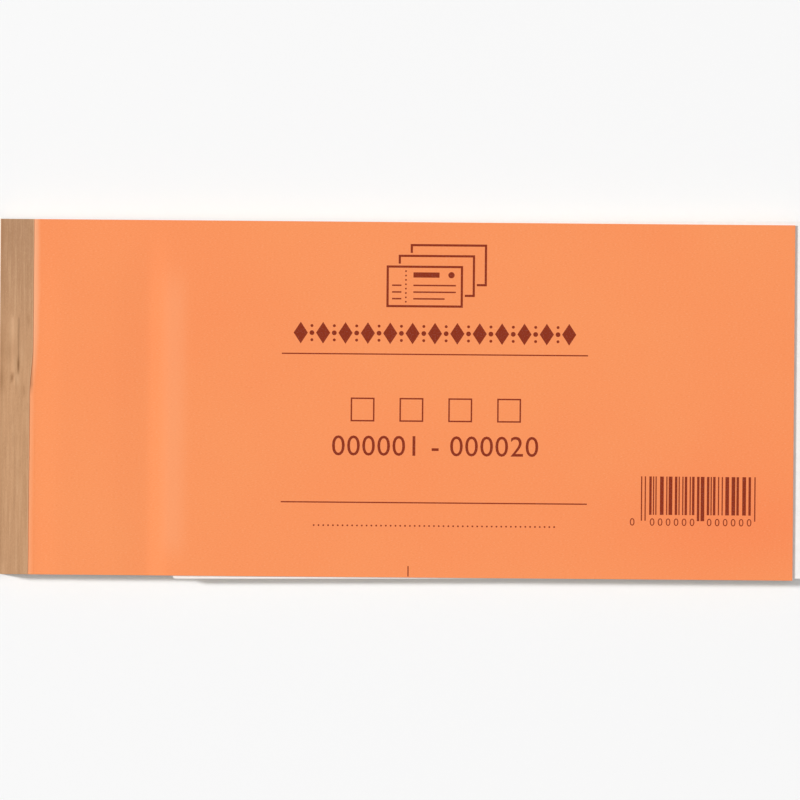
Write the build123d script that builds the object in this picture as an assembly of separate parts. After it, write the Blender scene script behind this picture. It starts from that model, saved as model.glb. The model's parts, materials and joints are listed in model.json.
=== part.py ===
from build123d import *
from math import atan, cos, degrees, radians, sin
import os

# A triplicate receipt book, closed, lying on its back board. Millimetres.
# +X runs from the taped spine to the free end, +Y to the head of the page, +Z up.
# The origin is the middle of the underside of the back board.

# Trimmed size of the book
BOOK_LENGTH = 213.0
BOOK_HEIGHT = 95.3

# Stack, from the bottom up: each set is a triplicate, a duplicate and an original
BOARD = 1.0
SETS = 20
PLIES = 3
SHEET = 0.07
AIR = 0.01
COVER = 0.28

# Loose writing card between the first set and the second, a little larger than the page
CARD = 0.45
CARD_LENGTH = 169.5
CARD_HEIGHT = 95.8
CARD_TILT = 0.48
CARD_RAISE = 0.1
CARD_CLEARANCE = 0.4

# Kraft tape round the spine; its front edge slants from head to foot
TAPE = 0.12
TAPE_FRONT_HEAD = 8.85
TAPE_FRONT_FOOT = 8.05
TAPE_BACK = 8.0

# Fold beside the tape where the cover and the leaves turn
FOLD_MARGIN = 0.25
FOLD_GAP = 0.3

# Tear line of the originals and duplicates, and the ramp up on to the card before it
PERFORATION = 46.0
TEAR_GAP = 0.1
SLIT = 3.0
SLIT_PITCH = 4.0
SLIT_WIDTH = 0.3
RAMP = 8.0
RAMP_TO_TEAR = 0.4

# Stiff cover: it bulges off the counterfoils, dips before the ramp and springs past the card's edge
BULGE = 0.22
BULGE_RISE = 3.0
BULGE_FALL = 8.6
SPRING = 0.14
SPRING_RISE = 5.4
SPRING_FALL = 39.0

# Two flat-wire staples through the bound edge
STAPLE_INSET = 4.3
STAPLE_OFFSET = 13.8
CROWN = 14.0
CLINCH = 5.0
WIRE = 0.34
WIRE_WIDTH = 0.7
WIRE_CLEARANCE = 0.03
BLISTER = 0.9
UPPER_DEPTH = 0.2

# Worked out from the sizes above
PITCH = SHEET + AIR
LIFT = CARD + AIR
SPINE = -BOOK_LENGTH / 2
PAD_LAYERS = (SETS - 1) * PLIES
FOLD = max(TAPE_FRONT_HEAD, TAPE_FRONT_FOOT) + FOLD_MARGIN
BOUND_END = FOLD - FOLD_GAP / 2
LEAF_START = FOLD + FOLD_GAP / 2
RAMP_END = PERFORATION - RAMP_TO_TEAR
RAMP_START = RAMP_END - RAMP
COVER_LEVEL = BOARD + AIR + SETS * PLIES * PITCH
COVER_TOP = COVER_LEVEL + COVER
LEG_SPREAD = (CROWN - WIRE) / 2
WIRE_BEND = WIRE + WIRE_CLEARANCE
LOWER_DEPTH = COVER + PITCH
# Name, place along the spine and how deep the crown is driven in, from the top of the cover
STAPLES = [("upper_staple", STAPLE_OFFSET, UPPER_DEPTH), ("lower_staple", -STAPLE_OFFSET, LOWER_DEPTH)]


def along(distance):
    """X of a point that lies this far from the spine."""
    return SPINE + distance


def level(layer):
    """Underside of a bound sheet, counted up from the back board."""
    return BOARD + AIR + layer * PITCH


def plate(start, end, bottom, thickness):
    """Flat layer of the full page height between two distances from the spine."""
    corner = (Align.MIN, Align.CENTER, Align.MIN)
    return Pos(along(start), 0, bottom) * Box(end - start, BOOK_HEIGHT, thickness, align=corner)


def leg_openings():
    """Outlines of the four holes that the staple legs make in the bound edge."""
    outlines = []
    for _, offset, _ in STAPLES:
        for side in (-1, 1):
            place = Pos(along(STAPLE_INSET), offset + side * LEG_SPREAD)
            outlines.append(place * Rectangle(WIRE_WIDTH + 2 * WIRE_CLEARANCE, WIRE + 2 * WIRE_CLEARANCE))
    return outlines


def slits():
    """Outlines of the perforation: a row of slits with ties of paper between them."""
    count = int((BOOK_HEIGHT - SLIT_PITCH + SLIT) // SLIT_PITCH)
    first = -(count - 1) * SLIT_PITCH / 2
    return [
        Pos(along(PERFORATION), first + place * SLIT_PITCH) * Rectangle(SLIT_WIDTH, SLIT)
        for place in range(count)
    ]


def bound_sheet(end, perforated=False):
    """Sheet from the spine to the given distance, pierced by the staples, lying at height zero."""
    outline = Pos(along(end / 2), 0) * Rectangle(end, BOOK_HEIGHT)
    outline -= leg_openings()
    if perforated:
        outline -= slits()
    return extrude(outline, SHEET)


def bent_layer(run, thickness):
    """Layer of even thickness and the full page height; the run gives its underside from the spine."""
    under = [(along(distance), height) for distance, height in run]
    over = [(x, z + thickness) for x, z in reversed(under)]
    profile = make_face(Polyline(*under, *over, close=True))
    return extrude(Plane.XZ * profile, BOOK_HEIGHT / 2, both=True)


def draped(end, bottom):
    """Sheet from the fold over the ramp on to the card."""
    run = [(LEAF_START, bottom), (RAMP_START, bottom), (RAMP_END, bottom + LIFT), (end, bottom + LIFT)]
    return bent_layer(run, SHEET)


def crown_slots(top, thickness):
    """Slots for the staple crowns that are driven into a layer with its top at this height."""
    slots = []
    for _, offset, depth in STAPLES:
        floor = max(COVER_TOP - depth, top - thickness)
        if floor < top:
            slot = Box(
                WIRE_WIDTH + 2 * WIRE_CLEARANCE,
                CROWN + 2 * WIRE_CLEARANCE,
                top - floor,
                align=(Align.CENTER, Align.CENTER, Align.MIN),
            )
            slots.append(Pos(along(STAPLE_INSET), offset, floor) * slot)
    return slots


def back_board():
    """Chipboard, with a rebate for the tape and pockets for the clinched staple ends."""
    board = plate(0, BOOK_LENGTH, 0, BOARD) - plate(0, TAPE_BACK, 0, TAPE)
    board -= extrude(Sketch() + leg_openings(), BOARD)
    for _, offset, _ in STAPLES:
        pocket = Box(
            WIRE_WIDTH + 2 * WIRE_CLEARANCE,
            CROWN + 2 * WIRE_CLEARANCE,
            TAPE + WIRE + WIRE_CLEARANCE,
            align=(Align.CENTER, Align.CENTER, Align.MIN),
        )
        board -= Pos(along(STAPLE_INSET), offset, 0) * pocket
    return board


def staple(offset, depth):
    """Ring of flat wire, open between its clinched ends, with its crown on or in the cover."""
    top = COVER_TOP - depth + WIRE
    height = top - TAPE
    ring = RectangleRounded(CROWN, height, WIRE_BEND)
    ring -= RectangleRounded(CROWN - 2 * WIRE, height - 2 * WIRE, WIRE_BEND - WIRE)
    ring -= Pos(0, (WIRE - height) / 2) * Rectangle(CROWN - 2 * CLINCH, WIRE)
    upright = Plane((along(STAPLE_INSET), offset, (top + TAPE) / 2), x_dir=(0, 1, 0), z_dir=(1, 0, 0))
    return extrude(upright * ring, WIRE_WIDTH / 2, both=True)


def blister(offset, depth, skin):
    """Raised tape over a staple crown; the skin is how far the surface lies outside the hollow."""
    rise = WIRE - depth + WIRE_CLEARANCE
    run = BLISTER - TAPE - WIRE_CLEARANCE
    margin = BLISTER - TAPE + skin
    base = Rectangle(WIRE_WIDTH + 2 * margin, CROWN + 2 * margin)
    return Pos(along(STAPLE_INSET), offset, COVER_TOP) * extrude(
        base, rise + skin, taper=degrees(atan(run / rise))
    )


def spine_tape():
    """Tape over the front of the bound edge, down the spine and under the board."""
    front = Polyline(
        (along(-TAPE), BOOK_HEIGHT / 2),
        (along(TAPE_FRONT_HEAD), BOOK_HEIGHT / 2),
        (along(TAPE_FRONT_FOOT), -BOOK_HEIGHT / 2),
        (along(-TAPE), -BOOK_HEIGHT / 2),
        close=True,
    )
    tape = Pos(0, 0, COVER_TOP) * extrude(make_face(front), TAPE)
    tape += plate(-TAPE, 0, 0, COVER_TOP + TAPE)
    tape += plate(-TAPE, TAPE_BACK, 0, TAPE)
    for _, offset, depth in STAPLES:
        if depth < WIRE:
            tape += blister(offset, depth, TAPE)
            tape -= blister(offset, depth, 0)
    return tape


def front_cover_bound_edge():
    """Strip of the cover under the tape, cut where the staple crowns are driven into it."""
    strip = plate(0, BOUND_END, COVER_LEVEL, COVER)
    strip -= Pos(0, 0, COVER_LEVEL) * extrude(Sketch() + leg_openings(), COVER)
    return strip - crown_slots(COVER_TOP, COVER)


def front_cover():
    """Cover from the fold to the free end."""
    peak = RAMP_END + SPRING_RISE
    run = [
        (LEAF_START, COVER_LEVEL),
        (LEAF_START + BULGE_RISE, COVER_LEVEL + BULGE),
        (RAMP_START - BULGE_FALL, COVER_LEVEL + BULGE),
        (RAMP_START, COVER_LEVEL),
        (RAMP_END, COVER_LEVEL + LIFT),
        (peak, COVER_LEVEL + LIFT + SPRING),
        (peak + SPRING_FALL, COVER_LEVEL + LIFT),
        (BOOK_LENGTH, COVER_LEVEL + LIFT),
    ]
    return bent_layer(run, COVER)


def writing_card():
    """Loose card on the second set, turned a little, with its left edge just past the ramp."""
    tilt = radians(CARD_TILT)
    reach = CARD_LENGTH / 2 * cos(tilt) + CARD_HEIGHT / 2 * sin(tilt)
    middle = along(RAMP_END + CARD_CLEARANCE) + reach
    card = Box(CARD_LENGTH, CARD_HEIGHT, CARD, align=(Align.CENTER, Align.CENTER, Align.MIN))
    return Pos(middle, CARD_RAISE, level(PAD_LAYERS)) * Rot(0, 0, CARD_TILT) * card


def receipt_set(number, whole, perforated):
    """One set in the pad: triplicate, duplicate and original, from the bottom up."""
    lowest = (SETS - number) * PLIES
    return [Pos(0, 0, level(lowest + ply)) * leaf for ply, leaf in enumerate([whole, perforated, perforated])]


def first_set():
    """The set that is in use, parted at the fold and, on the torn-off sheets, at the perforation."""
    stub = bound_sheet(BOUND_END)
    triplicate, duplicate, original = [level(PAD_LAYERS + ply) for ply in range(PLIES)]
    bound_edges = [Pos(0, 0, height) * stub for height in (triplicate, duplicate, original)]
    bound_edges[-1] -= crown_slots(original + SHEET, SHEET)
    counterfoil_end = PERFORATION - TEAR_GAP / 2
    form_start = PERFORATION + TEAR_GAP / 2
    return {
        "set_01_bound_edges": bound_edges,
        "triplicate_01_leaf": [draped(BOOK_LENGTH, triplicate)],
        "duplicate_01_counterfoil": [draped(counterfoil_end, duplicate)],
        "duplicate_01_form": [plate(form_start, BOOK_LENGTH, duplicate + LIFT, SHEET)],
        "original_01_counterfoil": [draped(counterfoil_end, original)],
        "original_01_form": [plate(form_start, BOOK_LENGTH, original + LIFT, SHEET)],
    }


def book():
    """Every node of the book with its solids."""
    nodes = {
        "back_board": [back_board()],
        "spine_tape": [spine_tape()],
        "front_cover_bound_edge": [front_cover_bound_edge()],
        "front_cover": [front_cover()],
        "writing_card": [writing_card()],
    }
    for name, offset, depth in STAPLES:
        nodes[name] = [staple(offset, depth)]
    nodes.update(first_set())
    whole = bound_sheet(BOOK_LENGTH)
    perforated = bound_sheet(BOOK_LENGTH, perforated=True)
    for number in range(2, SETS + 1):
        nodes[f"set_{number:02d}"] = receipt_set(number, whole, perforated)
    return nodes


def main():
    os.makedirs("parts", exist_ok=True)
    for name, pieces in book().items():
        solids = [solid for piece in pieces for solid in piece.solids()]
        export_step(Compound(solids), f"parts/{name}.step")


if __name__ == "__main__":
    main()
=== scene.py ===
"""Dress a triplicate receipt book: card cover, kraft spine tape, carbonless sheets, board and print."""
import json
import random
from math import cos, exp, pi, radians, sin

import bmesh
import bpy
from bpy.props import FloatProperty, FloatVectorProperty, PointerProperty
from mathutils import Matrix, Vector, noise


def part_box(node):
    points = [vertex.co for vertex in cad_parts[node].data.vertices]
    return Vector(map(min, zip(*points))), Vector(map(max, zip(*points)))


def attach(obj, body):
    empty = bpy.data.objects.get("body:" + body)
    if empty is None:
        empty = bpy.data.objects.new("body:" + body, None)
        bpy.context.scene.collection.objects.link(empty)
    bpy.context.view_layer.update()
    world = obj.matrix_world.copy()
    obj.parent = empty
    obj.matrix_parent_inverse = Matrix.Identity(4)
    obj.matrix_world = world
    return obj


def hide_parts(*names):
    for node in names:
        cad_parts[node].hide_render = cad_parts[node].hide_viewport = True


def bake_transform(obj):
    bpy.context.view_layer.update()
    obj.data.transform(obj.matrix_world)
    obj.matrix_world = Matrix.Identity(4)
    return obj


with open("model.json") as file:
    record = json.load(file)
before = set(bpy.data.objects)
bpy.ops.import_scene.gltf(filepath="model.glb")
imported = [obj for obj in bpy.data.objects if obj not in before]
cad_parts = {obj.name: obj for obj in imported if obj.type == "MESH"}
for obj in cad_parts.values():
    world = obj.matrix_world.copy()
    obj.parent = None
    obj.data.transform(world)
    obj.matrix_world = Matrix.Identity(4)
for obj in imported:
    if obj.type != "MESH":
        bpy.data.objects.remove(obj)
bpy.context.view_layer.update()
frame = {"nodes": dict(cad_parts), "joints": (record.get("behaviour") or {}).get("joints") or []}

bl_info = {
    "name": "Receipt Book",
    "version": (1, 0, 0),
    "blender": (4, 5, 0),
    "location": "3D View > Sidebar > Receipt Book",
    "description": "Builds the paper, card, tape and print of a bound receipt book around its solids",
    "category": "Object",
}

MM = 0.001

# Places taken from the frame
JOINTS = {joint["name"]: joint for joint in frame["joints"]}
FOLD = JOINTS["front_cover_turn"]["pos_m"][0]
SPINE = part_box("back_board")[0].x
FREE_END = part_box("back_board")[1].x
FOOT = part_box("back_board")[0].y
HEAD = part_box("back_board")[1].y
COVER_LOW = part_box("front_cover_bound_edge")[0].z
COVER_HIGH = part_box("front_cover_bound_edge")[1].z
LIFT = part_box("original_01_form")[0].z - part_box("original_01_counterfoil")[0].z
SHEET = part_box("original_01_form")[1].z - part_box("original_01_form")[0].z
TEAR_LINE = (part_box("original_01_counterfoil")[1].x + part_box("original_01_form")[0].x) / 2
PAD_SETS = sorted(name for name in frame["nodes"] if name[:4] == "set_" and name[4:].isdigit())
PLY_PITCH = (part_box("set_02")[1].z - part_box("set_02")[0].z - SHEET) / 2
PAD_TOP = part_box(PAD_SETS[0])[0].z + 2 * PLY_PITCH
UPPER_STAPLE = sum(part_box("upper_staple"), Vector()) / 2
PLIES = ("triplicate", "duplicate", "original")

# The first set runs flat on the pad, up a ramp and flat on the writing card
RAMP_END = SPINE + 45.8 * MM
RAMP_START = RAMP_END - 6.6 * MM
# Paper is a little thinner than the room that each sheet has, so that print lies between the sheets
PAPER = SHEET - 0.015 * MM
PAD_PAPER = PLY_PITCH - 0.002 * MM
INK = 0.006 * MM
INK_SINK = 0.002 * MM
HAIR = 0.01 * MM
# Sheets stop short of the spine and of the free end, so that the tape and the cover reach past them
SPINE_ROOM = 0.1 * MM
END_ROOM = 0.1 * MM
LEAF_END_ROOM = 0.15 * MM
# Columns of a sheet: in a crease, in a bend, on a slope, and where it is flat
CREASE_STEP = 0.04 * MM
BEND_STEP = 0.1 * MM
SLOPE_STEP = 0.8 * MM
FLAT_STEP = 8.0 * MM
# Edges that turn by more than this stay crisp
CRISP = radians(50)

# Run of the cover, in millimetres from the spine: the bulge beside the tape, the spring past the card's
# edge and the slack beyond it
BULGE_FULL = 17.0
BULGE_FALL = (29.5, 41.0)
SPRING_RISE = (42.5, 51.0)
SPRING_FALL = (53.0, 90.0)
SLACK_RISE = (56.0, 80.0)
SLACK = 0.02 * MM
FINE_COVER_END = 76.0
# At the head the cover runs taut on to the card, up the page and from the spine
TAUT_UP = (26.0, 50.0)
TAUT_RISE = (16.0, 46.0)

# Tape over the crown of the upper staple, in millimetres: rise, half width and half length of the flat
# top, and its flanks
CROWN_RISE = 0.17
CROWN_WIDE = 0.36
CROWN_LONG = 7.02
CROWN_LEFT = 1.1
CROWN_RIGHT = 0.62
CROWN_ENDS = 0.99
# The front edge of the tape steps in below the upper staple, between these places on the page
TAPE_STEP = (0.5, 14.0)
# Marks on the front of the tape, in millimetres: place from the spine and from the middle of the page,
# half width, half height, and strength or, for the dents, height
TAPE_DENTS = (
    (3.2, 4.4, 0.45, 0.9, -0.09),
    (4.1, 4.2, 0.3, 1.1, 0.06),
    (6.4, 1.4, 0.2, 1.6, 0.06),
    (2.0, 42.0, 0.25, 4.0, 0.04),
)
# Painted shade of the pressed tape: the shaded flank of the staple's crown and the shade in the dent and
# the wrinkles, with some dirt
TAPE_SHADE_AND_SOIL = (
    (4.9, 8.5, 0.36, 1.9, 0.8),
    (4.75, 17.4, 0.28, 3.6, 0.15),
    (7.6, 20.6, 0.45, 1.5, 0.3),
    (3.3, 5.0, 0.4, 1.2, 0.8),
    (2.2, 12.0, 2.4, 3.6, 0.3),
    (0.5, 4.5, 0.8, 3.5, 0.45),
    (6.3, 1.6, 0.25, 2.0, 0.35),
    (1.9, 41.0, 0.3, 5.0, 0.35),
)
# Painted highlights of the pressed tape: the lit flank of the staple's crown and the ring round the dent,
# with some wear
TAPE_HIGHLIGHTS_AND_WEAR = (
    (3.5, 18.0, 1.0, 3.8, 0.4),
    (4.1, 8.8, 0.6, 3.4, 0.5),
    (4.6, 4.6, 0.6, 1.4, 0.5),
    (5.9, 11.2, 0.9, 3.0, 0.2),
)

# Perforation
SLIT = 3.0 * MM
SLIT_PITCH = 4.0 * MM
SLIT_DEPTH = 0.13 * MM
SLIT_WALL = 0.05 * MM

# Writing card
CARD_CORNER = 0.8 * MM
CARD_EDGE = 0.06 * MM

# Stage: name, place, width, height and power of each lamp, then the light all round and the camera
LAMPS = (
    ("key", (-15.6, 3.0, 12.3), 1.8, 4.2, 3528.0),
    ("fill", (1.8, 0.0, 4.6), 3.6, 3.6, 29.0),
)
LIGHT_ALL_ROUND = 0.37
FLOOR_REACH = 4.0
FLOOR_LEVEL = -0.1 * MM
CAMERA_PLACE = (0.87 * MM, -0.07 * MM, 2.5)
CAMERA_TURN = radians(0.48)
CAMERA_LENS = 418.4


def paint(red, green, blue):
    """Linear colour from the 0 to 255 values that a screen shows."""
    return tuple(
        c / 12.92 if c <= 0.04045 else ((c + 0.055) / 1.055) ** 2.4
        for c in (red / 255, green / 255, blue / 255)
    )


def colour(name, description, default):
    """Property for a colour."""
    return FloatVectorProperty(
        name=name, description=description, subtype="COLOR", size=3, min=0, max=1, default=paint(*default)
    )


def length(name, description, default):
    """Property for a length, with its default in millimetres."""
    return FloatProperty(
        name=name, description=description, unit="LENGTH", precision=5, default=default * MM
    )


class ReceiptBookSizes(bpy.types.PropertyGroup):
    """Sizes that shape the paper and the print without changing the size of the book"""

    cover_bulge: length("Cover bulge", "How far the cover stands off the counterfoils", 0.2)
    cover_spring: length("Cover spring", "How far the cover springs up past the edge of the card", 0.11)
    crease: length("Crease", "Half width of the crease that turns with the first set", 0.35)
    cover_bend: length("Cover bend", "Width of the bend of the turned cover", 1.7)
    leaf_bend: length("Leaf bend", "Width of the bend of a turned sheet", 3.0)
    tape_head: length("Tape at head", "Width of the front flap above the upper staple", 8.8)
    tape_foot: length("Tape at foot", "Width of the front flap below the upper staple", 7.95)
    tape_back: length("Tape at back", "Width of the flap under the board", 8.0)
    tape_corner: length("Tape corner", "Rounding of the tape at the spine", 0.3)
    sheet_slip: length("Sheet slip", "How far the trimmed edges of the sheets differ", 0.05)
    rule: length("Rule", "Width of a printed rule", 0.34)


class ReceiptBookColours(bpy.types.PropertyGroup):
    """Colours of the paper, card, tape and inks"""

    cover: colour("Cover", "Orange cover card", (249, 150, 93))
    cover_warm: colour("Cover, warm", "Redder patches of the cover card", (249, 139, 86))
    cover_dark: colour("Cover, dark", "Dark fibres of the cover card", (228, 122, 66))
    # Also the colour of the painted highlight along the ridge over the writing card's edge
    glue_line: colour("Glue line", "Pale card beside the tape", (250, 178, 134))
    # Brown-orange of the cover in the strip beside the tape's stepped-in edge
    brown_step_strip: colour("Glue stain", "Brown card where the tape has shrunk back", (208, 136, 92))
    tape: colour("Tape", "Kraft tape", (198, 150, 109))
    tape_head: colour("Tape, head", "Kraft tape towards the head", (177, 134, 99))
    # Colour of dirt and of the painted shade of the pressed tape and of the spine's corner
    tape_soil_and_shade: colour("Tape, soil", "Dirt in the creases of the tape", (146, 102, 62))
    tape_dark: colour("Tape, dark", "Dark streaks of the tape", (171, 127, 89))
    # Also the colour of the painted highlights of the pressed tape and of the cut edge
    tape_light_and_highlight: colour("Tape, light", "Light streaks and cut edge of the tape", (211, 168, 128))
    cover_ink: colour("Cover ink", "Brown-red print on the cover", (138, 46, 18))
    original: colour("Original", "White sheets", (246, 245, 241))
    duplicate: colour("Duplicate", "Pink sheets", (246, 196, 204))
    triplicate: colour("Triplicate", "Yellow sheets", (250, 234, 158))
    card: colour("Writing card", "White card", (248, 245, 241))
    board: colour("Back board", "Grey chipboard", (170, 161, 148))
    board_fibre: colour("Back board, fibres", "Straw-coloured fibres of the chipboard", (196, 184, 160))
    wire: colour("Staples", "Zinc-plated wire", (176, 178, 182))
    wire_light: colour("Staples, light", "Bright drawing marks of the wire", (206, 207, 208))
    form_ink: colour("Form ink", "Ruled lines of the forms", (58, 84, 122))
    number_ink: colour("Number ink", "Printed numbers of the forms", (196, 52, 44))
    floor: colour("Floor", "Plain floor", (248, 248, 248))


def sizes():
    return bpy.context.scene.receipt_book_sizes


def colours():
    return bpy.context.scene.receipt_book_colours


def from_spine(distance):
    """X of a place that lies this many millimetres from the spine."""
    return SPINE + distance * MM


def ease(value, low, high):
    """0 before low, 1 after high, smooth between."""
    part = min(1.0, max(0.0, (value - low) / (high - low)))
    return part * part * (3 - 2 * part)


def across(x, places):
    """0 before the first place and 1 after the second, both in millimetres from the spine."""
    return ease(x, from_spine(places[0]), from_spine(places[1]))


def up_page(y, places):
    """0 below the first place and 1 above the second, both in millimetres from the middle of the page."""
    return ease(y, places[0] * MM, places[1] * MM)


def blob(x, y, width, height):
    """Soft hump, 1 in its middle."""
    return exp(-((x / width) ** 2) - (y / height) ** 2)


def spots(x, y, marks):
    """Sum of the soft marks of a table at a place."""
    return sum(
        strength * blob(x - from_spine(left), y - up * MM, width * MM, height * MM)
        for left, up, width, height, strength in marks
    )


def span(start, end, step):
    """Evenly spaced places from start to end, about one step apart."""
    count = max(1, round((end - start) / step))
    return [start + (end - start) * i / count for i in range(count + 1)]


def ramp(x):
    """Height that a sheet of the first set gains as it runs up on to the writing card."""
    return LIFT * ease(x, RAMP_START, RAMP_END)


def flat(x):
    """Sheets of the pad don't rise."""
    return 0.0


def cover_height(x, y):
    """Height of the cover above its bound level: it bulges, dips before the card and rises on to it."""
    size = sizes()
    bulge = size.cover_bulge * ease(x, FOLD, from_spine(BULGE_FULL)) * (1 - across(x, BULGE_FALL))
    spring = size.cover_spring * across(x, SPRING_RISE) * (1 - across(x, SPRING_FALL))
    dipped = ramp(x) + bulge + spring
    taut = LIFT * across(x, TAUT_RISE)
    slack = SLACK * (1 + noise.noise((x * 22, y * 30, 3.1))) * across(x, SLACK_RISE)
    return HAIR + dipped + up_page(y, TAUT_UP) * (taut - dipped) + slack


def cover_top(x, y):
    """Upper face of the cover."""
    return COVER_HIGH + cover_height(x, y)


def tape_width(y):
    """Distance of the tape's front edge from the spine: it steps in below the upper staple."""
    size = sizes()
    step = up_page(y, TAPE_STEP)
    drift = (0.25 * (y - FOOT) / (HEAD - FOOT) - 0.1) * MM * (1 - step)
    wander = 0.05 * MM * noise.noise((0.3, y * 160, 1.7)) + 0.02 * MM * noise.noise((0.9, y * 900, 4.4))
    return size.tape_foot + (size.tape_head - size.tape_foot) * step + drift + wander


def grid(xs, ys):
    """Flat grid with its columns and rows at the given places."""
    bm = bmesh.new()
    bmesh.ops.create_grid(bm, x_segments=len(xs) - 1, y_segments=len(ys) - 1, size=0.5)
    for v in bm.verts:
        column = round((v.co.x + 0.5) * (len(xs) - 1))
        row = round((v.co.y + 0.5) * (len(ys) - 1))
        v.co = (xs[column], ys[row], 0)
    return bm


def thicken(bm, thickness):
    """Give open sheets their thickness, upwards, and close their edges."""
    raised = bmesh.ops.extrude_face_region(bm, geom=bm.faces[:])["geom"]
    verts = [item for item in raised if isinstance(item, bmesh.types.BMVert)]
    bmesh.ops.translate(bm, vec=(0, 0, thickness), verts=verts)
    bmesh.ops.recalc_face_normals(bm, faces=bm.faces[:])


def piece(name, bm, material, stands_for=(), smooth=False):
    """Mesh object of the book, with a map of its flat places at rest."""
    layer = bm.loops.layers.uv.new("Sheet")
    for edge in bm.edges:
        edge.smooth = len(edge.link_faces) == 2 and edge.calc_face_angle() < CRISP
    for face in bm.faces:
        face.smooth = smooth
        for loop in face.loops:
            loop[layer].uv = (loop.vert.co.x, loop.vert.co.y)
    mesh = bpy.data.meshes.new(name)
    bm.to_mesh(mesh)
    bm.free()
    mesh.materials.append(material)
    obj = bpy.data.objects.new(name, mesh)
    bpy.context.scene.collection.objects.link(obj)
    if stands_for:
        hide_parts(*stands_for)
    return obj


def mark(obj, name, value):
    """Store a number for each vertex, worked out from its place, for the material to read."""
    attribute = obj.data.attributes.new(name, "FLOAT", "POINT")
    for vertex, item in zip(obj.data.vertices, attribute.data):
        item.value = value(vertex.co)


class Finish:
    """Node material with short calls for the nodes that the book's finishes use."""

    def __init__(self, name, roughness=0.7, specular=0.3):
        self.material = bpy.data.materials.new(name)
        self.material.use_nodes = True
        self.tree = self.material.node_tree
        self.shader = self.tree.nodes["Principled BSDF"]
        self.shader.inputs["Roughness"].default_value = roughness
        self.shader.inputs["Specular IOR Level"].default_value = specular

    def node(self, kind, inputs=None, **settings):
        made = self.tree.nodes.new(kind)
        for name, value in settings.items():
            setattr(made, name, value)
        for name, value in (inputs or {}).items():
            if isinstance(value, bpy.types.NodeSocket):
                self.tree.links.new(value, made.inputs[name])
            else:
                made.inputs[name].default_value = value
        return made

    def place(self, stretch=(1, 1, 1)):
        """Coordinates in metres, in the frame of the book."""
        source = self.node("ShaderNodeTexCoord").outputs["Object"]
        return self.node("ShaderNodeMapping", {"Vector": source, "Scale": stretch}).outputs["Vector"]

    def sheet(self, stretch=(1, 1, 1)):
        """Coordinates in metres on the flat sheet, which stay with it when it bends."""
        source = self.node("ShaderNodeUVMap", uv_map="Sheet").outputs["UV"]
        return self.node("ShaderNodeMapping", {"Vector": source, "Scale": stretch}).outputs["Vector"]

    def noise(self, vector, scale=1.0, detail=2.0, roughness=0.55):
        inputs = {"Vector": vector, "Scale": scale, "Detail": detail, "Roughness": roughness}
        return self.node("ShaderNodeTexNoise", inputs).outputs["Fac"]

    def between(self, value, low, high, top=1.0):
        """Stretch a value from low to high over 0 to top, clamped."""
        inputs = {"Value": value, "From Min": low, "From Max": high, "To Max": top}
        return self.node("ShaderNodeMapRange", inputs, clamp=True).outputs["Result"]

    def spread(self, value, low, high):
        """Turn a value from 0 to 1 into one from low to high."""
        inputs = {"Value": value, "To Min": low, "To Max": high}
        return self.node("ShaderNodeMapRange", inputs).outputs["Result"]

    def add(self, first, second):
        return self.node("ShaderNodeMath", {0: first, 1: second}, operation="ADD").outputs["Value"]

    def mix(self, factor, first, second):
        made = self.node("ShaderNodeMix", data_type="RGBA")
        for index, value in ((0, factor), (6, first), (7, second)):
            if isinstance(value, bpy.types.NodeSocket):
                self.tree.links.new(value, made.inputs[index])
            else:
                made.inputs[index].default_value = (*value, 1)
        return made.outputs[2]

    def attribute(self, name):
        return self.node("ShaderNodeAttribute", attribute_name=name).outputs["Fac"]

    def set(self, socket, value):
        self.tree.links.new(value, self.shader.inputs[socket])

    def bump(self, height, distance, strength):
        made = self.node("ShaderNodeBump", {"Height": height, "Distance": distance, "Strength": strength})
        self.set("Normal", made.outputs["Normal"])


def once(name, make, *values):
    """A finish by its name, made the first time that it is asked for."""
    return bpy.data.materials.get(name) or make(name, *values)


def orange_card(name):
    """Dyed pulp card: faint clouds, short fibres, pale where the tape's glue has dried, a brown strip
    beside the tape's stepped-in edge and a painted highlight along the ridge over the writing card.
    """
    shade = colours()
    f = Finish(name, specular=0.15)
    clouds = f.noise(f.sheet(), 16, 3)
    grain = f.noise(f.sheet(), 2200, 4, 0.65)
    fibres = f.noise(f.sheet((1500, 5200, 1)), 1, 3, 0.6)
    tint = f.mix(f.between(clouds, 0.35, 0.7, 0.45), shade.cover, shade.cover_warm)
    tint = f.mix(f.attribute("handled"), tint, shade.cover_warm)
    tint = f.mix(f.between(fibres, 0.56, 0.8, 0.65), tint, shade.glue_line)
    tint = f.mix(f.between(fibres, 0.44, 0.2, 0.5), tint, shade.cover_dark)
    tint = f.mix(f.between(grain, 0.55, 0.85, 0.4), tint, shade.cover_dark)
    tint = f.mix(f.attribute("glue"), tint, shade.glue_line)
    # Painted highlight along the ridge over the writing card's edge
    tint = f.mix(f.attribute("rubbed"), tint, shade.glue_line)
    # Darker brown-orange strip beside the tape's stepped-in edge
    tint = f.mix(f.attribute("stain"), tint, shade.brown_step_strip)
    f.set("Base Color", tint)
    f.set("Roughness", f.spread(grain, 0.55, 0.85))
    f.bump(f.add(grain, fibres), 0.02 * MM, 0.35)
    return f.material


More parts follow.
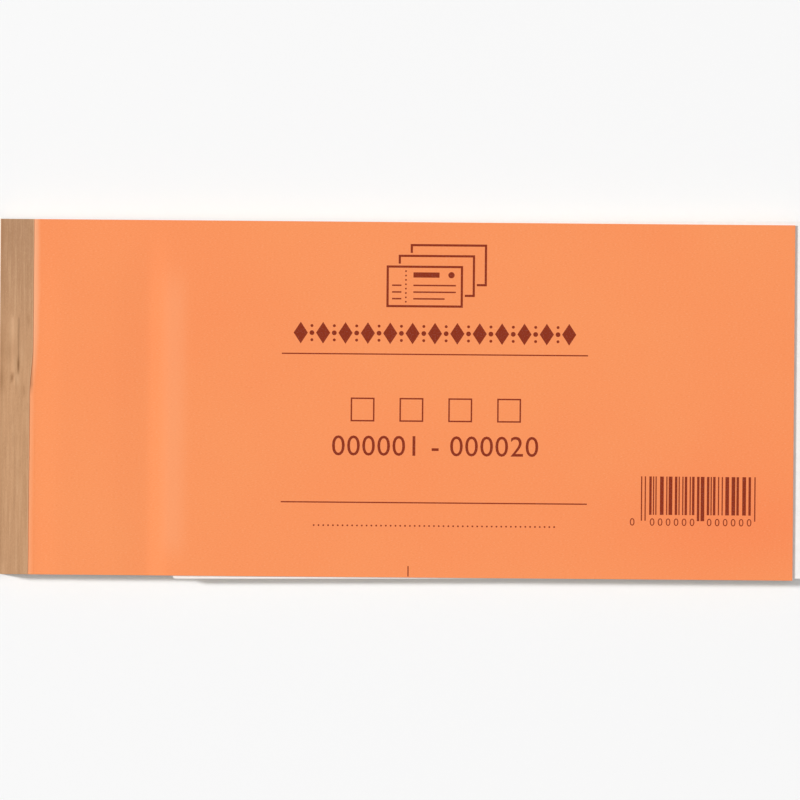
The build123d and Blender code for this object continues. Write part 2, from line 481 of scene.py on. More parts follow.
def kraft_tape(name):
    """Brown gummed paper: streaks along the spine, mottled, with a pale cut edge that is partly a painted
    highlight, painted shade and highlights where it is pressed over the staple, and painted shade along the
    spine's corner.
    """
    shade = colours()
    f = Finish(name, specular=0.3)
    streaks = f.noise(f.place((1500, 55, 1500)), 1, 5, 0.6)
    threads = f.noise(f.place((6500, 260, 6500)), 1, 3, 0.6)
    flecks = f.noise(f.place((5200, 1700, 5200)), 1, 3, 0.6)
    patches = f.noise(f.place((260, 110, 260)), 1, 3, 0.55)
    tint = f.mix(f.attribute("head"), shade.tape, shade.tape_head)
    tint = f.mix(f.between(streaks, 0.5, 0.72, 0.6), tint, shade.tape_light_and_highlight)
    tint = f.mix(f.between(streaks, 0.5, 0.28, 0.6), tint, shade.tape_dark)
    tint = f.mix(f.between(patches, 0.52, 0.75, 0.4), tint, shade.tape_dark)
    tint = f.mix(f.between(threads, 0.55, 0.8, 0.3), tint, shade.tape_light_and_highlight)
    tint = f.mix(f.between(flecks, 0.54, 0.78, 0.5), tint, shade.tape_light_and_highlight)
    tint = f.mix(f.between(flecks, 0.46, 0.22, 0.6), tint, shade.tape_dark)
    # Painted highlights of the pressed tape, with some wear
    tint = f.mix(f.attribute("worn"), tint, shade.tape_light_and_highlight)
    # Painted shade of the pressed tape and of the spine's corner, with some dirt
    tint = f.mix(f.attribute("soil"), tint, shade.tape_soil_and_shade)
    # Pale cut edge, partly a painted highlight along it
    tint = f.mix(f.attribute("cut"), tint, shade.tape_light_and_highlight)
    f.set("Base Color", tint)
    f.set("Roughness", f.spread(patches, 0.45, 0.75))
    f.bump(f.add(f.add(streaks, threads), flecks), 0.05 * MM, 0.5)
    return f.material


def paper(name, tint):
    """Carbonless paper: matt, with a faint cloudy formation and fine fibres."""
    f = Finish(name, roughness=0.8, specular=0.2)
    formation = f.noise(f.sheet(), 700, 4, 0.6)
    fibres = f.noise(f.sheet((2200, 7000, 1)), 1, 3, 0.6)
    shown = f.mix(f.between(formation, 0.35, 0.75), tint, tuple(c * 0.965 for c in tint))
    f.set("Base Color", f.mix(f.between(fibres, 0.52, 0.78, 0.7), shown, tuple(c * 0.88 for c in tint)))
    f.bump(f.add(formation, fibres), 0.01 * MM, 0.4)
    return f.material


def white_card(name):
    """Smooth white card with a few grey fibres."""
    shade = colours()
    f = Finish(name, roughness=0.6, specular=0.3)
    formation = f.noise(f.place(), 500, 4, 0.6)
    fibres = f.noise(f.place((900, 5200, 900)), 1, 2, 0.5)
    tint = f.mix(f.between(formation, 0.35, 0.75), shade.card, tuple(c * 0.94 for c in shade.card))
    tint = f.mix(f.between(fibres, 0.66, 0.74, 0.35), tint, tuple(c * 0.7 for c in shade.card))
    f.set("Base Color", tint)
    f.bump(formation, 0.015 * MM, 0.3)
    return f.material


def chipboard(name):
    """Grey recycled board: straw-coloured fibres and dark specks, layered at its edges."""
    shade = colours()
    f = Finish(name, roughness=0.85, specular=0.2)
    base = f.noise(f.place(), 240, 4, 0.6)
    fibres = f.noise(f.place((700, 1500, 5200)), 1, 2, 0.5)
    specks = f.noise(f.place(), 2600, 1, 0.5)
    tint = f.mix(f.between(base, 0.3, 0.7), shade.board, tuple(c * 0.86 for c in shade.board))
    tint = f.mix(f.between(fibres, 0.58, 0.72, 0.45), tint, shade.board_fibre)
    tint = f.mix(f.between(specks, 0.68, 0.76, 0.8), tint, tuple(c * 0.5 for c in shade.board))
    f.set("Base Color", tint)
    f.bump(f.add(base, fibres), 0.06 * MM, 0.5)
    return f.material


def staple_wire(name):
    """Zinc-plated flat wire with drawing marks along it."""
    shade = colours()
    f = Finish(name, roughness=0.35, specular=0.5)
    f.shader.inputs["Metallic"].default_value = 1.0
    drawn = f.noise(f.place((9000, 300, 9000)), 1, 2, 0.5)
    f.set("Base Color", f.mix(drawn, shade.wire, shade.wire_light))
    f.bump(drawn, 0.01 * MM, 0.4)
    return f.material


def ink(name, tint):
    """Printing ink, thinner where the fibres show through."""
    f = Finish(name, roughness=0.7, specular=0.1)
    coverage = f.noise(f.sheet(), 3000, 3, 0.6)
    paler = tuple(1 - (1 - c) * 0.92 for c in tint)
    f.set("Base Color", f.mix(f.between(coverage, 0.5, 0.85), tint, paler))
    return f.material


def ply_finish(ply):
    """Paper in the colour of the ply."""
    return once(f"{ply} paper", paper, tuple(getattr(colours(), ply)))


def slit_places():
    """Start and end of each slit of the perforation, from foot to head."""
    count = int((HEAD - FOOT - SLIT_PITCH + SLIT) // SLIT_PITCH)
    first = (FOOT + HEAD) / 2 - (count - 1) * SLIT_PITCH / 2
    middles = [first + i * SLIT_PITCH for i in range(count)]
    return [(middle - SLIT / 2, middle + SLIT / 2) for middle in middles]


def slit_rows():
    """Rows of a perforated sheet, with a steep wall at each end of each slit."""
    rows = [FOOT]
    for start, end in slit_places():
        rows += [start - SLIT_WALL, start, end, end + SLIT_WALL]
    return rows + [HEAD]


def notch(bm, edge, inward):
    """Push the parts of a torn edge that lie at a slit back from the tear line."""
    slits = slit_places()
    for v in bm.verts:
        at_slit = any(start - HAIR < v.co.y < end + HAIR for start, end in slits)
        if abs(v.co.x - edge) < HAIR / 2 and at_slit:
            v.co.x += inward


def leaf(xs, ys, low):
    """Sheet of the first set over the ramp, before it is notched and thickened."""
    bm = grid(xs, ys)
    for v in bm.verts:
        v.co.z = low + ramp(v.co.x)
    return bm


def glue_line(co):
    """Pale band of the cover along the tape's edge."""
    distance = co.x - SPINE - tape_width(co.y)
    up = up_page(co.y, (-2, 24))
    reach = (1.5 + 0.7 * up + 0.4 * noise.noise((5.0, co.y * 120, 2.0))) * MM
    return (0.4 + 0.45 * up) * (1 - ease(distance, 0.35 * MM, reach))


def painted_ridge_highlight(co):
    """Paler card along the ridge over the edge of the writing card: a painted highlight of the ridge's lit
    flank, with a little rubbing of the card.
    """
    over = across(co.x, (42, 46)) * (1 - across(co.x, (47, 52)))
    along = up_page(co.y, (-46, -36)) * (1 - up_page(co.y, (24, 40)))
    return 0.2 * over * along


def brown_step_strip(co):
    """Brown strip of the cover beside the tape's edge, where it steps in below the upper staple."""
    over = across(co.x, (7.6, 8.0)) * (1 - across(co.x, (8.7, 9.1)))
    along = up_page(co.y, (0.5, 3)) * (1 - up_page(co.y, (11, 14.5)))
    return over * along


def handled_corner(co):
    """Redder card towards the free end at the foot, where the book is picked up."""
    return blob(co.x - from_spine(200), co.y + 33 * MM, 36 * MM, 14 * MM)


class RECEIPT_OT_cover(bpy.types.Operator):
    """Build the orange card cover and its strip under the tape"""

    bl_idname = "receipt_book.cover"
    bl_label = "Front cover"

    def execute(self, context):
        size = sizes()
        start = FOLD + size.crease
        end = start + size.cover_bend
        finish = once("orange cover card", orange_card)
        xs = span(start + HAIR / 2, end + 1 * MM, BEND_STEP)
        xs += span(xs[-1], from_spine(FINE_COVER_END), SLOPE_STEP)[1:]
        xs += span(xs[-1], FREE_END, 3.0 * MM)[1:]
        ys = span(FOOT, HEAD, 1.6 * MM)
        panel = grid(xs, ys)
        for v in panel.verts:
            v.co.z = COVER_LOW + cover_height(v.co.x, v.co.y)
        thicken(panel, COVER_HIGH - COVER_LOW)
        cover = piece("front_cover_panel", panel, finish, ["front_cover"], smooth=True)
        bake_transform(cover)

        bend = FOLD - size.crease / 2
        xs = span(SPINE + SPINE_ROOM, bend, 0.5 * MM) + span(bend, start - HAIR / 2, CREASE_STEP)[1:]
        strip = grid(xs, ys)
        for v in strip.verts:
            v.co.z = COVER_LOW + cover_height(v.co.x, v.co.y) * ease(v.co.x, bend, start)
        thicken(strip, COVER_HIGH - COVER_LOW)
        bound = piece("front_cover_crease", strip, finish,
                      ["front_cover_bound_edge"], smooth=True)
        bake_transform(bound)
        for obj in (cover, bound):
            mark(obj, "glue", glue_line)
            # Darker brown-orange strip beside the tape's stepped-in edge
            mark(obj, "stain", brown_step_strip)
            # Painted highlight along the ridge over the writing card's edge
            mark(obj, "rubbed", painted_ridge_highlight)
            mark(obj, "handled", handled_corner)
        return {"FINISHED"}


def ridge(x, y):
    """Rise of the tape over the upper staple's crown, with the creases and dents of the pressed tape."""
    aside = x - UPPER_STAPLE.x
    flank = CROWN_LEFT if aside < 0 else CROWN_RIGHT
    over = 1 - ease(abs(aside), CROWN_WIDE * MM, (CROWN_WIDE + flank) * MM)
    along = 1 - ease(abs(y - UPPER_STAPLE.y), CROWN_LONG * MM, (CROWN_LONG + CROWN_ENDS) * MM)
    grain = 0.008 * noise.noise((x * 900, y * 60, 0.4))
    return (CROWN_RISE * over * along + spots(x, y, TAPE_DENTS) + grain) * MM


def tape_point(s, y, low, high, back):
    """Outside of the tape: s runs from 0 to 1 over the front, to 2 round the corner, to 3 down the wall,
    to 4 round the lower corner and to 5 under the board.
    """
    r = sizes().tape_corner
    if s <= 1:
        front = SPINE + tape_width(y)
        x = front + (low.x + r - front) * s
        return Vector((x, y, high + ridge(x, y)))
    if s <= 2:
        turn = (s - 1) * pi / 2
        return Vector((low.x + r - r * sin(turn), y, high - r + r * cos(turn)))
    if s <= 3:
        sway = 0.015 * MM * (1 + noise.noise((2.0, y * 90, s * 4)))
        part = s - 2
        return Vector((low.x + sway * sin(pi * part), y, high - r + (low.z + 2 * r - high) * part))
    if s <= 4:
        turn = (s - 3) * pi / 2
        return Vector((low.x + r - r * cos(turn), y, low.z + r - r * sin(turn)))
    return Vector((low.x + r + (back - low.x - r) * (s - 4), y, low.z))


def tape_marks(co, marks):
    """Strength of the marks at a place on the tape's front flap: painted shade and highlights of the
    pressed tape, with some dirt and wear.
    """
    return min(1.0, spots(co.x, co.y, marks)) if co.z > COVER_HIGH - HAIR else 0.0


def painted_spine_shade(co):
    """Painted shade along the corner of the spine, fading over the front and down the wall."""
    over = 1 - ease(co.x, SPINE, from_spine(1.3))
    down = 1 - ease(COVER_HIGH - co.z, 0, 1.6 * MM)
    return (0.26 + 0.1 * noise.noise((1.0, co.y * 70, 6.0))) * over * down


def tape_cut_edge_and_highlight(co):
    """Pale cut edge of the tape's front flap: paler fibres of the cut, with a painted highlight along the
    edge.
    """
    distance = SPINE + tape_width(co.y) - co.x
    return 0.7 * (1 - ease(distance, 0.02 * MM, 0.3 * MM)) if co.z > COVER_HIGH - HAIR else 0.0


def tape_ends(co):
    """Darker tape towards the head, and a little at the foot."""
    return up_page(co.y, (2, 46)) + 0.2 * (1 - up_page(co.y, (-44, -20)))


class RECEIPT_OT_tape(bpy.types.Operator):
    """Build the kraft tape round the spine, pressed down over the staples"""

    bl_idname = "receipt_book.tape"
    bl_label = "Spine tape"

    def execute(self, context):
        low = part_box("spine_tape")[0]
        thickness = SPINE - low.x
        front = COVER_HIGH + thickness
        back = SPINE + sizes().tape_back
        columns = span(0, 1, 0.012)
        columns += span(1, 2, 0.2)[1:] + span(2, 3, 0.1)[1:] + span(3, 4, 0.2)[1:] + span(4, 5, 0.1)[1:]
        bm = grid(columns, span(FOOT, HEAD, 0.45 * MM))
        for v in bm.verts:
            v.co = tape_point(v.co.x, v.co.y, low, front, back)
        bmesh.ops.recalc_face_normals(bm, faces=bm.faces[:])
        bmesh.ops.solidify(bm, geom=bm.faces[:], thickness=0.9 * thickness)
        bmesh.ops.recalc_face_normals(bm, faces=bm.faces[:])
        finish = once("kraft tape", kraft_tape)
        tape = piece("spine_tape_kraft", bm, finish, ["spine_tape"], smooth=True)
        # Pale cut edge, partly a painted highlight along it
        mark(tape, "cut", tape_cut_edge_and_highlight)
        mark(tape, "head", tape_ends)
        # Painted shade of the pressed tape and of the spine's corner, and painted highlights of the pressed
        # tape, with some dirt and wear
        mark(tape, "soil", lambda co: tape_marks(co, TAPE_SHADE_AND_SOIL) + painted_spine_shade(co))
        mark(tape, "worn", lambda co: tape_marks(co, TAPE_HIGHLIGHTS_AND_WEAR))
        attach(tape, "pad")
        return {"FINISHED"}


class RECEIPT_OT_first_set(bpy.types.Operator):
    """Build the three sheets of the set in use; the duplicate and original ride on their leaves and forms,
    which turn at the fold and tear at the perforation
    """

    bl_idname = "receipt_book.first_set"
    bl_label = "First set"

    def execute(self, context):
        size = sizes()
        bend_end = FOLD + size.leaf_bend
        inner = span(FOLD + HAIR, bend_end, BEND_STEP) + span(bend_end, TEAR_LINE - HAIR, SLOPE_STEP)[1:]
        outer = span(TEAR_LINE + 0.5 * MM, FREE_END - LEAF_END_ROOM, FLAT_STEP)

        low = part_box("triplicate_01_leaf")[0].z
        whole = leaf(inner + outer, span(FOOT, HEAD, 4 * MM), low)
        thicken(whole, PAPER)
        sheet = piece("triplicate_leaf_sheet", whole, ply_finish("triplicate"),
                      ["triplicate_01_leaf"], smooth=True)
        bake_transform(sheet)

        kept_part = span(FOLD + 1.2 * size.crease, TEAR_LINE - HAIR, SLOPE_STEP)
        for ply in ("duplicate", "original"):
            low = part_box(f"{ply}_01_counterfoil")[0].z
            stub = leaf(kept_part, slit_rows(), low)
            notch(stub, kept_part[-1], -SLIT_DEPTH)
            thicken(stub, PAPER)
            kept = piece(f"{ply}_counterfoil_sheet", stub, ply_finish(ply),
                         [f"{ply}_01_counterfoil"], smooth=True)
            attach(kept, f"{ply}_leaf")
            form = leaf([TEAR_LINE + HAIR] + outer, slit_rows(), low)
            notch(form, TEAR_LINE + HAIR, SLIT_DEPTH)
            thicken(form, PAPER)
            torn = piece(f"{ply}_form_sheet", form, ply_finish(ply),
                         [f"{ply}_01_form"])
            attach(torn, f"{ply}_form")
        return {"FINISHED"}


class RECEIPT_OT_pad(bpy.types.Operator):
    """Build the sheets of the pad, each trimmed a little differently, and the first set's bound edges"""

    bl_idname = "receipt_book.pad"
    bl_label = "Pad of sets"

    def execute(self, context):
        slip = random.Random(20)
        stacks = {ply: bmesh.new() for ply in PLIES}
        for name in reversed(PAD_SETS):
            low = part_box(name)[0].z
            for place, ply in enumerate(PLIES):
                if (name, ply) == (PAD_SETS[0], "original"):
                    continue
                self.add_sheet(stacks[ply], low + place * PLY_PITCH, FREE_END, slip)
        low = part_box("set_01_bound_edges")[0].z
        for place, ply in enumerate(PLIES):
            self.add_sheet(stacks[ply], low + place * PLY_PITCH, FOLD - HAIR, slip)
        for ply, bm in stacks.items():
            sheets = piece(f"pad_{ply}s", bm, ply_finish(ply),
                           [*PAD_SETS, "set_01_bound_edges"])
            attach(sheets, "pad")

        xs = [SPINE + SPINE_ROOM, *span(FOLD, TEAR_LINE - SLIT_DEPTH, 6 * MM)]
        xs += span(TEAR_LINE + SLIT_DEPTH, FREE_END - END_ROOM, FLAT_STEP)
        top = grid(xs, slit_rows())
        slits = slit_places()
        holes = []
        for face in top.faces:
            middle = face.calc_center_median()
            at_slit = any(start < middle.y < end for start, end in slits)
            if abs(middle.x - TEAR_LINE) < SLIT_DEPTH and at_slit:
                holes.append(face)
        bmesh.ops.delete(top, geom=holes, context="FACES")
        bmesh.ops.translate(top, vec=(0, 0, PAD_TOP), verts=top.verts[:])
        thicken(top, PAPER)
        sheet = piece("pad_top_original", top, ply_finish("original"), [PAD_SETS[0]])
        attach(sheet, "pad")
        return {"FINISHED"}

    @staticmethod
    def add_sheet(stack, low, end, slip):
        """One trimmed sheet, whose edges wander by a hair."""
        most = sizes().sheet_slip
        short = [slip.uniform(0, most) for _ in range(3)]
        xs = span(SPINE + SPINE_ROOM, end - short[0], 30 * MM)
        ys = span(FOOT + short[1], HEAD - short[2], 16 * MM)
        bm = grid(xs, ys)
        bmesh.ops.translate(bm, vec=(0, 0, low), verts=bm.verts[:])
        thicken(bm, PAD_PAPER)
        mesh = bpy.data.meshes.new("sheet")
        bm.to_mesh(mesh)
        bm.free()
        stack.from_mesh(mesh)
        bpy.data.meshes.remove(mesh)


class RECEIPT_OT_writing_card(bpy.types.Operator):
    """Build the loose white card under the first set, with cut corners eased"""

    bl_idname = "receipt_book.writing_card"
    bl_label = "Writing card"

    def execute(self, context):
        corners = [v.co.copy() for v in frame["nodes"]["writing_card"].data.vertices]
        low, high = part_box("writing_card")
        axis = Vector(JOINTS["writing_card_slide"]["axis"]).normalized()
        side = Vector((-axis.y, axis.x, 0))
        middle = (low + high) / 2
        reach = [max((co - middle).dot(way) for co in corners) for way in (axis, side)]
        turn = Matrix((axis, side, (0, 0, 1))).transposed().to_4x4()
        size = Matrix.Diagonal((2 * reach[0], 2 * reach[1], high.z - low.z, 1))
        bm = bmesh.new()
        bmesh.ops.create_cube(bm, size=1, matrix=Matrix.Translation(middle) @ turn @ size)
        upright = [e for e in bm.edges if abs(e.verts[0].co.z - e.verts[1].co.z) > HAIR]
        bmesh.ops.bevel(bm, geom=upright, offset=CARD_CORNER, affect="EDGES",
                        segments=4, profile=0.5, material=-1)
        rim = [e for e in bm.edges if len(e.link_faces) == 2 and e.calc_face_angle() > CRISP]
        bmesh.ops.bevel(bm, geom=rim, offset=CARD_EDGE, affect="EDGES",
                        segments=2, profile=0.5, material=-1)
        finish = once("white card", white_card)
        card = piece("writing_card_sheet", bm, finish, ["writing_card"])
        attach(card, "writing_card")
        return {"FINISHED"}


class RECEIPT_OT_board(bpy.types.Operator):
    """Finish the chipboard back"""

    bl_idname = "receipt_book.board"
    bl_label = "Back board"

    def execute(self, context):
        frame["nodes"]["back_board"].material_slots[0].material = once("grey chipboard", chipboard)
        return {"FINISHED"}


class RECEIPT_OT_staples(bpy.types.Operator):
    """Finish the two wire staples under the tape"""

    bl_idname = "receipt_book.staples"
    bl_label = "Staples"

    def execute(self, context):
        for name in ("upper_staple", "lower_staple"):
            frame["nodes"][name].material_slots[0].material = once("zinc-plated wire", staple_wire)
        return {"FINISHED"}


class Print:
    """Flat print, laid out in millimetres from the spine and from the middle of the page."""

    def __init__(self):
        self.bm = bmesh.new()

    def bar(self, left, bottom, right, top):
        place = Matrix.Translation((from_spine((left + right) / 2), (bottom + top) / 2 * MM, 0))
        size = Matrix.Diagonal(((right - left) * MM, (top - bottom) * MM, 1, 1))
        bmesh.ops.create_grid(self.bm, x_segments=1, y_segments=1, size=0.5, matrix=place @ size)

    def line(self, left, right, y, width=0.25):
        self.bar(left, y - width / 2, right, y + width / 2)

    def upright(self, x, bottom, top, width=0.25):
        self.bar(x - width / 2, bottom, x + width / 2, top)

    def box(self, left, bottom, right, top, width=0.25):
        self.line(left, right, bottom + width / 2, width)
        self.line(left, right, top - width / 2, width)
        self.upright(left + width / 2, bottom + width, top - width, width)
        self.upright(right - width / 2, bottom + width, top - width, width)

    def dot(self, x, y, width, height=None, segments=16):
        place = Matrix.Translation((from_spine(x), y * MM, 0))
        size = Matrix.Diagonal((width * MM, (height or width) * MM, 1, 1))
        bmesh.ops.create_circle(self.bm, cap_ends=True, segments=segments, radius=0.5, matrix=place @ size)

    def lozenge(self, x, y, width, height):
        self.dot(x, y, width, height, segments=4)

    def dots(self, left, right, y, pitch, width):
        for x in span(left, right, pitch):
            self.dot(x, y, width, segments=8)

    def figures(self, text, x, y, height, spacing=1.0):
        """Figures with their middle at x, y."""
        curve = bpy.data.curves.new("figures", "FONT")
        curve.body = text
        curve.size = height / 0.7 * MM
        curve.space_character = spacing
        curve.resolution_u = 4
        curve.align_x = "CENTER"
        curve.fill_mode = "FRONT"
        holder = bpy.data.objects.new("figures", curve)
        mesh = bpy.data.meshes.new_from_object(holder)
        mesh.transform(Matrix.Translation((from_spine(x), (y - height / 2) * MM, 0)))
        self.bm.from_mesh(mesh)
        bpy.data.objects.remove(holder)
        bpy.data.curves.remove(curve)
        bpy.data.meshes.remove(mesh)

    def lay(self, name, height, finish, body):
        """Cut the print small enough to follow the sheet, lay it on and make it a film of ink."""
        bm = self.bm
        for axis in (0, 1):
            places = [v.co[axis] for v in bm.verts]
            normal = Vector((1 - axis, axis, 0))
            for cut in span(min(places), max(places), 3 * MM)[1:-1]:
                bmesh.ops.bisect_plane(bm, geom=bm.verts[:] + bm.edges[:] + bm.faces[:], dist=1e-7,
                                       plane_co=normal * cut, plane_no=normal)
        for v in bm.verts:
            v.co.z = height(v.co.x, v.co.y) - INK_SINK
        thicken(bm, INK)
        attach(piece(name, bm, finish), body)


class RECEIPT_OT_cover_print(bpy.types.Operator):
    """Print the cover: a device of three sheets, an ornamental band, rules, boxes, numbers and bars"""

    bl_idname = "receipt_book.cover_print"
    bl_label = "Cover print"

    def execute(self, context):
        p = Print()
        rule = sizes().rule / MM
        self.device(p, 117.0, 33.3)
        self.band(p, 116.6, 17.8)
        for y in (12.2, -27.6):
            p.line(75.6, 157.7, y, rule)
        for step in (-1.5, -0.5, 0.5, 1.5):
            x = 117.0 + step * 13.1
            p.box(x - 3.2, -5.9, x + 3.2, 0.5, 0.4)
        p.figures("000001 - 000020", 116.9, -12.3, 5.4, 1.05)
        p.dots(84.5, 149.0, -33.8, 1.3, 0.5)
        self.bars(p)
        p.upright(109.9, -47.4, -44.6, 0.3)
        finish = once("cover ink", ink, tuple(colours().cover_ink))
        p.lay("front_cover_print", cover_top, finish, "front_cover")
        return {"FINISHED"}

    @staticmethod
    def device(p, x, y):
        """Three sheets, one behind another, the front one ruled and perforated."""
        left, low, width, height, line = x - 13.5, y - 8.5, 20.5, 11.2, 0.6
        aside, rise, gap = 3.2, 2.9, 0.5
        p.box(left, low, left + width, low + height, line)
        for step in (1, 2):
            start, foot = left + aside * step, low + rise * step
            end, head = start + width, foot + height
            p.line(start, end, head - line / 2, line)
            p.upright(end - line / 2, foot, head - line, line)
            p.upright(start + line / 2, head - rise + gap, head - line, line)
            p.line(end - aside + gap, end - line, foot + line / 2, line)
        for place in span(low + 1.5, low + height - 1.5, 1.1):
            p.dot(left + 5.2, place, 0.5, segments=8)
        p.bar(left + 7.2, low + 8.0, left + 14.2, low + 9.4)
        p.dot(left + 17.4, low + 8.7, 1.7)
        for step in range(3):
            p.line(left + 7.2, left + 18.6 - 3.0 * (step == 2), low + 5.9 - 1.8 * step, 0.4)
            p.line(left + 1.5, left + 4.0, low + 5.9 - 1.8 * step, 0.4)

    @staticmethod
    def band(p, x, y):
        """Old type ornament: lozenges with small dots between them."""
        pitch = 6.0
        for step in range(-6, 7):
            p.lozenge(x + step * pitch, y, 3.8, 5.8)
            if step < 6:
                p.dot(x + (step + 0.5) * pitch, y, 1.3)
                for side in (-1, 1):
                    p.dot(x + (step + 0.5) * pitch, y + side * 1.9, 0.8, segments=12)

    @staticmethod
    def bars(p):
        """Upright bars of mixed widths over a row of noughts."""
        widths = random.Random(4)
        start, middle, end, low, high = 172.2, 188.0, 203.6, -30.3, -20.0
        x = start
        while x < end - 0.6:
            width = widths.choice((0.33, 0.33, 0.66, 0.66, 1.0))
            longer = x < start + 1.2 or x > end - 1.8 or abs(x - middle) < 0.8
            p.upright(x + width / 2, low - 1.6 * longer, high, width)
            x += width + widths.choice((0.33, 0.33, 0.66, 0.9))
        for text, place, spacing in (("0", 169.9, 1.0), ("000000", 180.6, 1.5), ("000000", 195.9, 1.5)):
            p.figures(text, place, -32.2, 2.0, spacing)


class RECEIPT_OT_form_print(bpy.types.Operator):
    """Rule the forms and counterfoils and number them"""

    bl_idname = "receipt_book.form_print"
    bl_label = "Form print"

    def execute(self, context):
        places = [
            ("triplicate", "triplicate_01_leaf", "triplicate_leaf", "triplicate_leaf", "000001"),
            ("duplicate", "duplicate_01_counterfoil", "duplicate_leaf", "duplicate_form", "000001"),
            ("original", "original_01_counterfoil", "original_leaf", "original_form", "000001"),
            ("next", None, "pad", "pad", "000002"),
        ]
        lines = once("form ink", ink, tuple(colours().form_ink))
        red = once("number ink", ink, tuple(colours().number_ink))
        for name, node, stub_body, form_body, number in places:
            low, rise = (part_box(node)[0].z, ramp) if node else (PAD_TOP, flat)

            def top(x, y, low=low, rise=rise):
                return low + PAPER + rise(x)

            stub, form, stub_number, form_number = Print(), Print(), Print(), Print()
            self.counterfoil(stub)
            self.form(form)
            stub_number.figures(number, 31.5, 37.0, 3.2, 1.1)
            form_number.figures(number, 192.0, 34.5, 4.4, 1.1)
            stub.lay(f"{name}_counterfoil_lines", top, lines, stub_body)
            form.lay(f"{name}_form_lines", top, lines, form_body)
            stub_number.lay(f"{name}_counterfoil_number", top, red, stub_body)
            form_number.lay(f"{name}_form_number", top, red, form_body)
        return {"FINISHED"}

    @staticmethod
    def counterfoil(p):
        """Lines to write on and a box for the sum."""
        for y in (27.0, 19.0, 11.0, 3.0, -5.0, -13.0):
            p.line(16.0, 42.0, y, 0.2)
        p.box(16.0, -36.0, 42.0, -24.0, 0.35)
        p.upright(34.0, -35.6, -24.4, 0.2)

    @staticmethod
    def form(p):
        """Double frame, two rules as a heading, lines to write on, a box for the sum, a line to sign on."""
        p.box(51.0, -42.5, 208.0, 42.5, 0.5)
        p.box(52.0, -41.5, 207.0, 41.5, 0.2)
        p.line(96.0, 163.0, 36.6, 0.8)
        p.line(96.0, 163.0, 33.0, 0.3)
        p.dots(163.0, 202.0, 24.0, 1.1, 0.35)
        for y in (14.0, 4.0, -6.0, -16.0):
            p.line(58.0, 202.0, y, 0.2)
        p.box(58.0, -37.0, 104.0, -25.0, 0.4)
        p.upright(92.0, -36.6, -25.4, 0.2)
        p.line(146.0, 202.0, -36.8, 0.25)


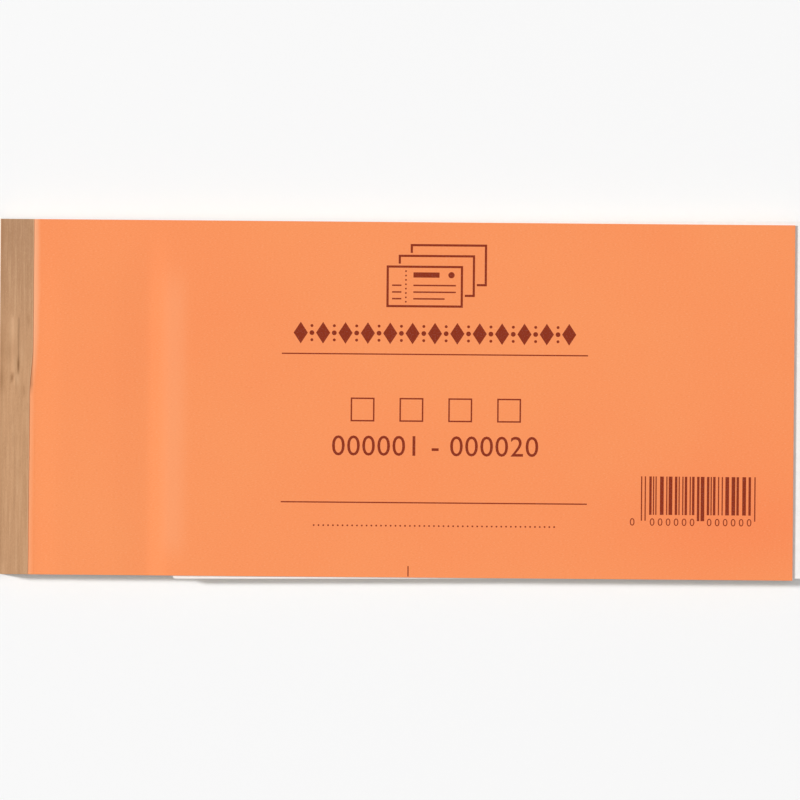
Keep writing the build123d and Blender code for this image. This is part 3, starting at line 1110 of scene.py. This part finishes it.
class RECEIPT_OT_stage(bpy.types.Operator):
    """Set the floor, the soft light and the camera straight above the book"""

    bl_idname = "receipt_book.stage"
    bl_label = "Stage"

    def execute(self, context):
        scene = context.scene
        bm = bmesh.new()
        level = Matrix.Translation((0, 0, FLOOR_LEVEL))
        bmesh.ops.create_grid(bm, x_segments=1, y_segments=1, size=FLOOR_REACH, matrix=level)
        floor = piece("floor", bm, once("pale floor", self.pale_floor))
        for lamp in LAMPS:
            self.lamp(*lamp)
        self.world(scene)
        camera = bpy.data.objects.new("camera", bpy.data.cameras.new("camera"))
        camera.location = CAMERA_PLACE
        camera.rotation_euler = (0, 0, CAMERA_TURN)
        camera.data.lens = CAMERA_LENS
        camera.data.sensor_width = 36.0
        camera.data.clip_end = 50.0
        scene.collection.objects.link(camera)
        scene.camera = camera
        scene.view_settings.view_transform = "Standard"
        return {"FINISHED"}

    @staticmethod
    def pale_floor(name):
        f = Finish(name, roughness=0.9, specular=0.1)
        f.shader.inputs["Base Color"].default_value = (*colours().floor, 1)
        return f.material

    @staticmethod
    def lamp(name, place, width, height, power):
        light = bpy.data.lights.new(name, "AREA")
        light.shape = "RECTANGLE"
        light.size = width
        light.size_y = height
        light.energy = power
        obj = bpy.data.objects.new(name, light)
        obj.location = place
        obj.rotation_euler = (-Vector(place)).to_track_quat("-Z", "Y").to_euler()
        bpy.context.scene.collection.objects.link(obj)

    @staticmethod
    def world(scene):
        """Even dim light all round; the camera, mirrors and glass see plain white."""
        world = bpy.data.worlds.new("studio")
        world.use_nodes = True
        scene.world = world
        tree = world.node_tree
        light = tree.nodes["Background"]
        light.inputs["Color"].default_value = (1, 1, 1, 1)
        light.inputs["Strength"].default_value = LIGHT_ALL_ROUND
        seen = tree.nodes.new("ShaderNodeBackground")
        seen.inputs["Color"].default_value = (1, 1, 1, 1)
        rays = tree.nodes.new("ShaderNodeLightPath")
        either = rays.outputs["Is Camera Ray"]
        for ray in ("Is Glossy Ray", "Is Transmission Ray"):
            larger = tree.nodes.new("ShaderNodeMath")
            larger.operation = "MAXIMUM"
            tree.links.new(either, larger.inputs[0])
            tree.links.new(rays.outputs[ray], larger.inputs[1])
            either = larger.outputs["Value"]
        chosen = tree.nodes.new("ShaderNodeMixShader")
        tree.links.new(either, chosen.inputs["Fac"])
        tree.links.new(light.outputs["Background"], chosen.inputs[1])
        tree.links.new(seen.outputs["Background"], chosen.inputs[2])
        tree.links.new(chosen.outputs["Shader"], tree.nodes["World Output"].inputs["Surface"])


OPERATORS = (
    RECEIPT_OT_cover,
    RECEIPT_OT_tape,
    RECEIPT_OT_first_set,
    RECEIPT_OT_pad,
    RECEIPT_OT_writing_card,
    RECEIPT_OT_board,
    RECEIPT_OT_staples,
    RECEIPT_OT_cover_print,
    RECEIPT_OT_form_print,
    RECEIPT_OT_stage,
)


class RECEIPT_PT_panel(bpy.types.Panel):
    """Sizes, colours and pieces of the receipt book"""

    bl_idname = "RECEIPT_PT_panel"
    bl_label = "Receipt Book"
    bl_space_type = "VIEW_3D"
    bl_region_type = "UI"
    bl_category = "Receipt Book"

    def draw(self, context):
        for group in (context.scene.receipt_book_sizes, context.scene.receipt_book_colours):
            column = self.layout.column()
            for name in group.__annotations__:
                column.prop(group, name)
        for operator in OPERATORS:
            self.layout.operator(operator.bl_idname)


CLASSES = (ReceiptBookSizes, ReceiptBookColours, *OPERATORS, RECEIPT_PT_panel)


def register():
    for item in CLASSES:
        bpy.utils.register_class(item)
    bpy.types.Scene.receipt_book_sizes = PointerProperty(type=ReceiptBookSizes)
    bpy.types.Scene.receipt_book_colours = PointerProperty(type=ReceiptBookColours)


def unregister():
    del bpy.types.Scene.receipt_book_colours
    del bpy.types.Scene.receipt_book_sizes
    for item in reversed(CLASSES):
        bpy.utils.unregister_class(item)


def main():
    register()
    for operator in OPERATORS:
        group, name = operator.bl_idname.split(".")
        getattr(getattr(bpy.ops, group), name)()


if __name__ == "__main__":
    main()
